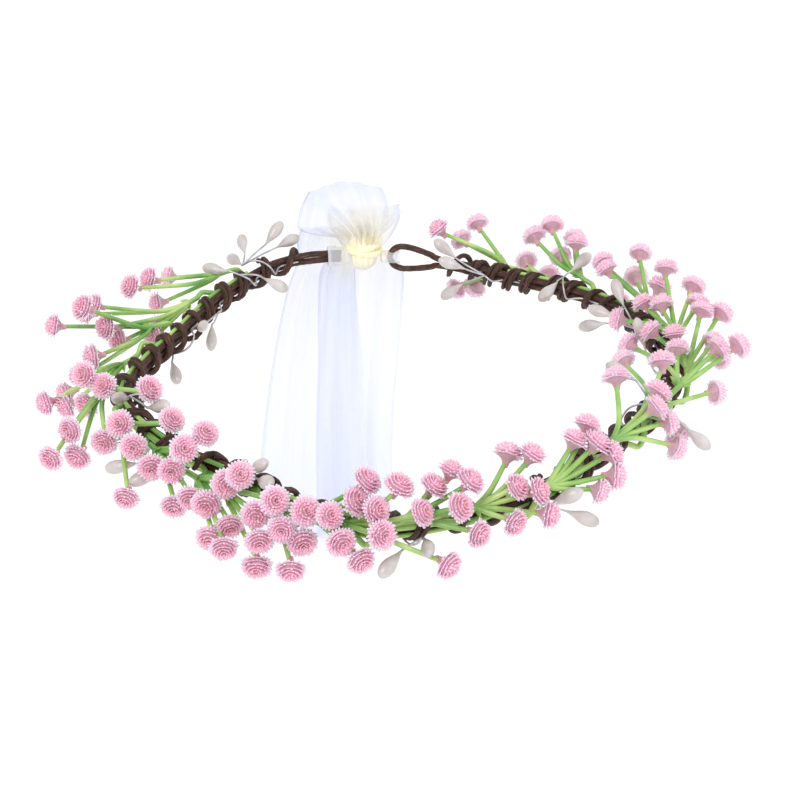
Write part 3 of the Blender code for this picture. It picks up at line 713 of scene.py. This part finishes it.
def bud_radius(share):
    """The teardrop's outline: a long taper from its base, then a round end."""
    if share > BUD_WIDEST:
        return BUD_RADIUS * math.sqrt(max(0.0, 1.0 - ((share - BUD_WIDEST) / (1.0 - BUD_WIDEST)) ** 2))
    rise = share / BUD_WIDEST
    swell = (rise * rise * (3.0 - 2.0 * rise)) ** BUD_FULLNESS
    return BUD_WIRE_RADIUS + (BUD_RADIUS - BUD_WIRE_RADIUS) * swell


def add_bud_wire(mesh, points):
    """A thin wire that runs smoothly through the points."""
    path = smooth_path(points, STEM_STEP)
    add_tube(mesh, path, [BUD_WIRE_RADIUS] * len(path), BUD_WIRE_SIDES)


def dress_buds(name, pearl, silver, rng):
    """Rebuild one cluster: its wires, and a lacquered pip on the end of each."""
    ends = tube_ends(name, TWIG_SIDES)
    buds = [end for end in ends if end[1][0][1] > FOOT_MOST_RADIUS]
    feet = [end for end in ends if end[1][0][1] < FOOT_MOST_RADIUS]
    hub = middle([corner for _, _, corners in buds for corner in corners])
    shares = [1.0 - (1.0 - i / BUD_RINGS) ** BUD_RING_CROWDING for i in range(BUD_RINGS)] + [BUD_LAST_RING]
    pips = new_mesh()
    wires = new_mesh()
    for _, rings, _ in feet:
        add_bud_wire(wires, [centre for centre, _ in rings] + [hub])
    for tip, rings, _ in buds:
        base = rings[BUD_BASE_RING][0]
        axis = (tip - base).normalized()
        inner = [centre for centre, _ in reversed(rings[BUD_BASE_RING:])]
        add_bud_wire(wires, [hub, *inner, base + axis * WIRE_INTO_BUD])
        length = BUD_LENGTH * rng.uniform(*BUD_LENGTHS)
        along = [base + axis * length * share for share in shares]
        add_tube(pips, along, [bud_radius(share) for share in shares], BUD_SIDES, BUD_FLATNESS)
    number = name[-2:]
    finish_piece(f"pip_buds_{number}", pips, pearl, [name])
    finish_piece(f"bud_wires_{number}", wires, silver, [name])


# ---------------------------------------------------------------- wires

def crinkle(seed, depth, ribs):
    """A radius scale for twisted paper: lengthwise ribs that wind slowly, broken up by noise."""
    def shape(around, along):
        turn = math.tau * around
        rib = math.cos(turn * ribs + along / MM * CRINKLE_WIND)
        grain = noise.noise(Vector((
            math.cos(turn) * GRAIN_ROUND, math.sin(turn) * GRAIN_ROUND, along / MM * GRAIN_ALONG + seed,
        )))
        return 1.0 + depth * (RIB_SHARE * rib + GRAIN_SHARE * grain)
    return shape


def dress_ring_wire(paper):
    """The doubled wire of the band, as one crinkled length; gives the wire's own centres."""
    _, rings, _ = tube_ends("ring_wire", WIRE_SIDES)[0]
    centres = [centre for centre, _ in rings]
    path = smooth_path(centres, RING_STEP)
    mesh = new_mesh()
    add_tube(mesh, path, [WIRE_RADIUS] * len(path), PAPER_SIDES, 1.0, crinkle(seed=3.0, depth=0.10, ribs=3))
    finish_piece("paper_ring_wire", mesh, paper, ["ring_wire"])
    return centres


def vine_wander(i, seed):
    """How far the vine strays from its even coil at its point i, before it is scaled.

    The bare numbers only pick places in the noise that are well apart.
    """
    here = Vector((i * VINE_WANDER_PACE + seed, seed * 3.7, 0.5))
    aside = noise.noise(here + Vector((9, 2, 4)))
    return Vector((noise.noise(here), aside, VINE_WANDER_UP * noise.noise(here.yzx)))


def vine_radius(i, seed):
    """The vine's radius at its point i, which swells and shrinks slowly along it."""
    return VINE_RADIUS * (1.0 + VINE_SWELL * noise.noise(Vector((i * VINE_SWELL_PACE, seed, 7.0))))


def dress_vine(name, paper, seed):
    """A rough, uneven length of twisted paper wire wound round the band, doubled in places."""
    _, rings, _ = tube_ends(name, VINE_SIDES)[0]
    path = smooth_path([centre for centre, _ in rings], PAPER_STEP)
    uneven = [point + vine_wander(i, seed) * VINE_WANDER for i, point in enumerate(path)]
    radii = [vine_radius(i, seed) for i in range(len(uneven))]
    mesh = new_mesh()
    add_tube(mesh, uneven, radii, PAPER_SIDES, VINE_FLATNESS, crinkle(seed, depth=0.22, ribs=2))
    for start, end, beside in VINE_DOUBLES:
        strand = []
        for point in uneven[int(start * len(uneven)):int(end * len(uneven))]:
            along = Vector((-point.y, point.x, 0.0)).normalized()
            strand.append(point + along * beside)
        paper_shape = crinkle(seed + 5.0, depth=0.2, ribs=2)
        add_tube(mesh, strand, [DOUBLE_RADIUS] * len(strand), PAPER_SIDES, DOUBLE_FLATNESS, paper_shape)
    finish_piece("paper_" + name, mesh, paper, [name])


def degrees_past_bow(point):
    """A point's place round the band in degrees, counted on from the bow's."""
    turn = math.degrees(math.atan2(point.y, point.x))
    return (turn - BOW_DEGREES) % 360.0 + BOW_DEGREES


def dress_bundle(wire, green):
    """The sprays' stems, which run on along the band under the vine."""
    centres = [(wire[i] + wire[-1 - i]) * 0.5 for i in range(len(wire) // 2)]
    centres = [centre for centre in centres if BUNDLE_FROM < degrees_past_bow(centre) < BUNDLE_TO]
    mesh = new_mesh()
    for lane, turn in enumerate(BUNDLE_TURNS):
        path = []
        for i, centre in enumerate(centres):
            out = Vector((centre.x, centre.y, 0.0)).normalized()
            sway = BUNDLE_SWAY * math.sin(i * BUNDLE_SWAY_PACE + lane * BUNDLE_LANE_SHIFT)
            tilt = math.radians(turn + sway)
            outward = out * (BUNDLE_OUTWARD + BUNDLE_REACH * math.cos(tilt))
            path.append(centre + outward + Vector((0, 0, BUNDLE_REACH * math.sin(tilt))))
        path = smooth_path(path, STEM_STEP)
        add_tube(mesh, path, [BUNDLE_RADIUS] * len(path), STEM_SIDES)
    finish_piece("stem_bundle", mesh, green)


# ---------------------------------------------------------------- ribbon

def ribbon_mesh(place, columns, rows, width, length, cream, dense):
    """A single-layer sheet; place(u, v) gives its points, cream(p) and dense(u, v, p) its tints."""
    mesh = new_mesh("cream", "dense")
    uv = mesh.loops.layers.uv["UVMap"]
    cream_layer = mesh.verts.layers.float["cream"]
    dense_layer = mesh.verts.layers.float["dense"]
    grid = []
    for j in range(rows + 1):
        line = []
        for i in range(columns + 1):
            u, v = i / columns, j / rows
            vert = mesh.verts.new(place(u, v))
            vert[cream_layer] = cream(vert.co)
            vert[dense_layer] = dense(u, v, vert.co)
            line.append(vert)
        grid.append(line)
    for j in range(rows):
        for i in range(columns):
            face = mesh.faces.new((grid[j][i], grid[j][i + 1], grid[j + 1][i + 1], grid[j + 1][i]))
            corners = ((i, j), (i + 1, j), (i + 1, j + 1), (i, j + 1))
            for loop, (a, b) in zip(face.loops, corners):
                loop[uv].uv = (a / columns * width, b / rows * length)
    return mesh


def cream_near_knot(point):
    """1 at the knot, fading out over about two of its heights."""
    away = point - KNOT
    distance = math.sqrt(away.x ** 2 + away.z ** 2 * CREAM_UPRIGHT) / CREAM_REACH
    return max(0.0, 1.0 - distance) ** CREAM_FADE


def dense_edges(u, v, point):
    """Woven edges are denser, and so is cloth that is gathered near the knot."""
    edge = 1.0 if min(u, 1.0 - u) < EDGE_WIDTH else 0.0
    away = (point - KNOT).length / GATHER_REACH
    return min(1.0, EDGE_DENSITY * edge + max(0.0, 1.0 - away))


def dense_strap(u, v, point):
    """The strap's woven edges are at its two open ends."""
    return STRAP_EDGE_DENSITY if min(v, 1.0 - v) < STRAP_EDGE_WIDTH else STRAP_DENSITY


def interpolate(rows, share):
    """A smooth blend through rows of numbers at a share of the way along them."""
    place = share * (len(rows) - 1)
    i = min(int(place), len(rows) - 2)
    t = place - i
    picked = [rows[min(max(j, 0), len(rows) - 1)] for j in (i - 1, i, i + 1, i + 2)]
    return [
        0.5 * (2 * b + (c - a) * t + (2 * a - 5 * b + 4 * c - d) * t * t + (3 * b - a - 3 * c + d) * t ** 3)
        for a, b, c, d in zip(*picked)
    ]


def hanging_tail(name, node, rows, material, phase):
    """A tail that falls from the knot in soft pleats, which drift sideways on their way down.

    The bare numbers in place() only set how the pleats drift and sway, so that no two run alike.
    """
    def place(u, v):
        left, right, back, height = interpolate(rows, v)
        width = max(right - left, TAIL_LEAST_WIDTH_MM)
        spare = max(0.0, 1.0 - width / TAIL_FULL_WIDTH_MM)
        deep = TAIL_PLEAT_MM + TAIL_SPARE_PLEAT_MM * spare
        drift = 1.5 * math.sin(3.0 * v + phase * 7.0)
        fold = deep * math.sin(math.tau * (TAIL_PLEATS * u + phase + 0.25 * v) + drift)
        fold += 0.5 * deep * math.sin(math.tau * (TAIL_SMALL_PLEATS * u - phase * 2.0 + 0.6 * v))
        fold *= min(1.0, 0.25 + 3.0 * v)
        sway = TAIL_SWAY_MM * math.sin(math.tau * (1.3 * v + u * 0.3 + phase))
        return Vector((left + width * u + sway * v, back + fold, height)) * MM

    mesh = ribbon_mesh(
        place, TAIL_COLUMNS, TAIL_ROWS, RIBBON_WIDTH, TAIL_WEAVE_LENGTH, cream_near_knot, dense_edges,
    )
    return finish_piece(name, mesh, material, [node], None)


def bow_loop(name, node, rows, material, phase):
    """A loop that leaves the knot and comes back to it, pleated near the knot and crowned further out."""
    def place(u, v):
        left, right, back, up = interpolate(rows, v)
        width = right - left
        near = max(0.0, 1.0 - math.hypot(back, up) / LOOP_PLEAT_REACH_MM)
        deep = LOOP_PLEAT_MM + LOOP_KNOT_PLEAT_MM * near
        pleat = deep * math.sin(math.tau * (LOOP_PLEATS * u + phase) + 2.0 * v)
        pleat += LOOP_WAVE_MM * math.sin(math.tau * (1.1 * u + v + phase))
        before = interpolate(rows, max(0.0, v - LOOP_LOOK_AHEAD))
        after = interpolate(rows, min(1.0, v + LOOP_LOOK_AHEAD))
        ahead = Vector((0.0, after[2] - before[2], after[3] - before[3])).normalized()
        normal = Vector((1.0, 0.0, 0.0)).cross(ahead)
        crown = LOOP_CROWN_MM * math.sin(math.pi * u) * math.sin(math.pi * v)
        return KNOT + (Vector((left + width * u, back, up)) + normal * (pleat + crown)) * MM

    mesh = ribbon_mesh(
        place, LOOP_COLUMNS, LOOP_ROWS, RIBBON_WIDTH, LOOP_WEAVE_LENGTH, cream_near_knot, dense_edges,
    )
    return finish_piece(name, mesh, material, [node], None)


def knot_pleats(around, along):
    """The core's radius: eleven pleats, and five broader ones that wind the other way."""
    turn = math.tau * around
    return 1.0 + 0.09 * math.sin(11.0 * turn + along * 200.0) + 0.06 * math.sin(5.0 * turn - along * 400.0)


def knot_band_twist(around, along):
    """A band's radius: four ribs that wind along it."""
    return 1.0 + KNOT_BAND_RIPPLE * math.sin(math.tau * 4 * around + along * 400)


def add_knot_band(mesh, tilt, lift):
    """One band wound once round the knot, at a slope."""
    slope = math.tan(math.radians(tilt))
    wide, deep = KNOT_BAND_INSET
    ring = []
    for k in range(KNOT_BAND_STEPS + 1):
        turn = math.tau * k / KNOT_BAND_STEPS
        x, y = KNOT_HALF.x * wide * math.cos(turn), KNOT_HALF.y * deep * math.sin(turn)
        ring.append(KNOT + Vector((x, y, lift * MM + x * slope)))
    add_tube(mesh, ring, [KNOT_BAND_RADIUS] * len(ring), KNOT_BAND_SIDES, 1.0, knot_band_twist)


def dress_knot(material):
    """The gathered knot: a pleated core with two bands wound across it."""
    mesh = new_mesh("cream", "dense")
    heights = [math.sin(math.pi * (i / KNOT_RINGS - 0.5)) * KNOT_END for i in range(KNOT_RINGS + 1)]
    path = [KNOT + Vector((0.0, 0.0, KNOT_HALF.z * KNOT_TALL * height)) for height in heights]
    radii = [KNOT_HALF.x * (KNOT_WIDE - KNOT_WAIST * height ** 4) for height in heights]
    add_tube(mesh, path, radii, KNOT_SIDES, KNOT_HALF.y / KNOT_HALF.x, knot_pleats)
    for tilt, lift in KNOT_BANDS:
        add_knot_band(mesh, tilt, lift)
    cream, dense = (mesh.verts.layers.float[layer] for layer in ("cream", "dense"))
    for vert in mesh.verts:
        share = abs(vert.co.z - KNOT.z) / KNOT_HALF.z
        vert[cream] = 1.0 - KNOT_END_CREAM_LOSS * share
        vert[dense] = max(0.0, 1.0 - share ** 3)
    finish_piece("gathered_knot", mesh, material, ["ribbon_knot"])


def dress_strap(name, material, towards_knot):
    """A band of ribbon wrapped round the wires, pleated, and narrower where it runs into the knot."""
    low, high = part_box(name)
    centre, half = (low + high) * 0.5, (high - low) * 0.5

    def place(u, v):
        turn = math.tau * u + STRAP_TWIST * v
        ripple = 1.0 - STRAP_RIPPLE * (0.5 + 0.5 * math.sin(STRAP_RIPPLES * turn + STRAP_SLANT * v))
        pinch = 1.0 - STRAP_PINCH * (v if towards_knot > 0 else 1.0 - v) ** 2
        return Vector((
            centre.x + half.x * (2.0 * v - 1.0), centre.y + half.y * math.cos(turn) * ripple * pinch,
            centre.z + half.z * math.sin(turn) * ripple * pinch,
        ))

    width = half.x * 2.0
    mesh = ribbon_mesh(place, STRAP_COLUMNS, STRAP_ROWS, RIBBON_WIDTH, width, cream_near_knot, dense_strap)
    finish_piece(name.replace("ribbon_", "wound_"), mesh, material, [name])


def dress_ribbon():
    """The whole bow: two tails, two loops, the knot and the straps that tie it to the wires."""
    cloth = organza("organza", *CLOTH_ALPHA)
    knot = organza("knot_organza", *KNOT_ALPHA)
    left = hanging_tail("tail_left", "ribbon_tail_left", TAIL_LEFT_MM, cloth, phase=0.1)
    right = hanging_tail("tail_right", "ribbon_tail_right", TAIL_RIGHT_MM, cloth, phase=0.45)
    front = bow_loop("loop_front", "bow_loop_front", LOOP_FRONT_MM, cloth, phase=0.2)
    back = bow_loop("loop_back", "bow_loop_back", LOOP_BACK_MM, cloth, phase=0.6)
    for tail in (left, right):
        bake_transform(tail, "root", "ribbon_tails", *TAIL_BEND)
    dress_knot(knot)
    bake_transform(front, "root", "bow_loop_front", *FRONT_BEND)
    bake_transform(back, "root", "bow_loop_back", *BACK_BEND)
    dress_strap("ribbon_strap_left", cloth, 1)
    dress_strap("ribbon_strap_right", cloth, -1)


# ---------------------------------------------------------------- stage

def aim_at_origin(made):
    """Turn a camera or a light that is already in its place to look at the origin."""
    made.rotation_mode = "QUATERNION"
    made.rotation_quaternion = (-made.location).to_track_quat("-Z", "Y")


def make_camera():
    """The camera, in front of the crown and about 29 degrees above it, looking at the origin."""
    data = bpy.data.cameras.new("camera")
    camera = bpy.data.objects.new("camera", data)
    bpy.context.scene.collection.objects.link(camera)
    camera.location = CAMERA_PLACE
    aim_at_origin(camera)
    data.sensor_width = CAMERA_SENSOR
    data.lens = CAMERA_LENS
    data.shift_x, data.shift_y = CAMERA_SHIFT
    data.clip_start = CAMERA_CLIP
    bpy.context.scene.camera = camera


def soft_light(name, place, size, power):
    """A round area light that looks at the origin."""
    data = bpy.data.lights.new(name, "AREA")
    data.shape = "DISK"
    data.size = size
    data.energy = power
    light = bpy.data.objects.new(name, data)
    bpy.context.scene.collection.objects.link(light)
    light.location = place
    aim_at_origin(light)


def make_stage():
    """A plain pale floor, an evenly bright world and two soft lights."""
    mesh = bmesh.new()
    bmesh.ops.create_grid(mesh, x_segments=1, y_segments=1, size=FLOOR_SIZE * 0.5)
    data = bpy.data.meshes.new("floor")
    mesh.to_mesh(data)
    mesh.free()
    floor = bpy.data.objects.new("floor", data)
    bpy.context.scene.collection.objects.link(floor)
    floor.location.z = CAD_BOX[0].z - FLOOR_DROP
    pale, _, shader = new_material("pale_floor", roughness=0.9)
    shader.inputs["Base Color"].default_value = FLOOR_COLOUR
    data.materials.append(pale)
    world = bpy.data.worlds.new("studio")
    world.use_nodes = True
    background = world.node_tree.nodes["Background"]
    background.inputs["Color"].default_value = WORLD_COLOUR
    background.inputs["Strength"].default_value = WORLD_STRENGTH
    bpy.context.scene.world = world
    for light in LIGHTS:
        soft_light(*light)
    bpy.context.scene.view_settings.view_transform = "Standard"


def build():
    """Make the stage, then every piece of the crown."""
    make_camera()
    make_stage()
    rng = random.Random(SEED)
    petals = petal_plastic()
    green = stem_plastic()
    for name in SPRAYS:
        dress_spray(name, petals, green, rng)
    pearl = pearl_lacquer()
    silver = silver_wire()
    for name in BUD_CLUSTERS:
        dress_buds(name, pearl, silver, rng)
    paper = crinkled_paper()
    wire = dress_ring_wire(paper)
    for index, name in enumerate(VINES):
        dress_vine(name, paper, seed=1.7 * index + 0.4)
    dress_bundle(wire, green)
    dress_ribbon()


build()
